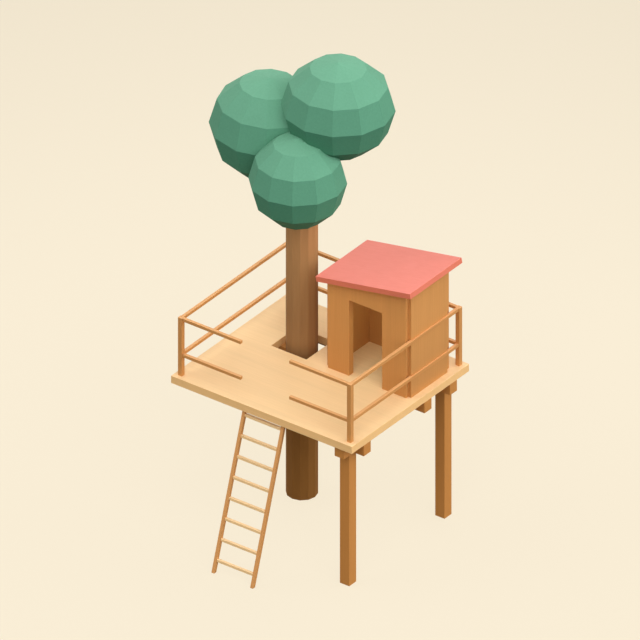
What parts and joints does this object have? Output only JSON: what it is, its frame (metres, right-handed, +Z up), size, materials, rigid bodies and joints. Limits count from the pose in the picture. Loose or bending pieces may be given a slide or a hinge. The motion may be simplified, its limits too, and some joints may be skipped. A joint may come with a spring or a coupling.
{
  "type": "tree house",
  "caption": "Small cabin on a railed deck, carried by a tree trunk and two legs, with a leaning ladder up to it and a faceted crown of leaves above.",
  "frame": {"origin": "middle of the trunk's foot, on the floor", "axes": "+X to the right along the deck's front edge, +Y to the back, away from the ladder, +Z up"},
  "size_m": [3.6149, 3.4577, 6.644],
  "materials": {
    "bark": "matt bark",
    "leaves": "matt leaves",
    "deck_wood": "pale, satin",
    "frame_wood": "matt",
    "rail_wood": "satin",
    "cabin_wood": "matt",
    "roof_paint": "painted, matt"
  },
  "bodies": {
    "root": {"cabin_wall_back": "cabin_wood", "cabin_wall_front": "cabin_wood", "cabin_wall_left": "cabin_wood", "cabin_wall_right": "cabin_wood", "crown_front": "leaves", "crown_left": "leaves", "crown_right": "leaves", "deck": "deck_wood", "joist_back": "frame_wood", "joist_front": "frame_wood", "joist_middle_left": "frame_wood", "joist_middle_right": "frame_wood", "ladder_rung_1": "deck_wood", "ladder_rung_2": "deck_wood", "ladder_rung_3": "deck_wood", "ladder_rung_4": "deck_wood", "ladder_rung_5": "deck_wood", "ladder_rung_6": "deck_wood", "ladder_rung_7": "deck_wood", "ladder_rung_8": "deck_wood", "ladder_stile_left": "rail_wood", "ladder_stile_right": "rail_wood", "leg_back": "frame_wood", "leg_front": "frame_wood", "rail_back_lower": "rail_wood", "rail_back_top": "rail_wood", "rail_front_left_lower": "rail_wood", "rail_front_left_top": "rail_wood", "rail_front_right_lower": "rail_wood", "rail_front_right_top": "rail_wood", "rail_left_lower": "rail_wood", "rail_left_top": "rail_wood", "rail_post_back_left": "rail_wood", "rail_post_back_right": "rail_wood", "rail_post_front_left": "rail_wood", "rail_post_front_right": "rail_wood", "rail_right_lower": "rail_wood", "rail_right_top": "rail_wood", "roof": "roof_paint", "side_beam": "frame_wood", "trunk": "bark"}
  },
  "joints": []
}
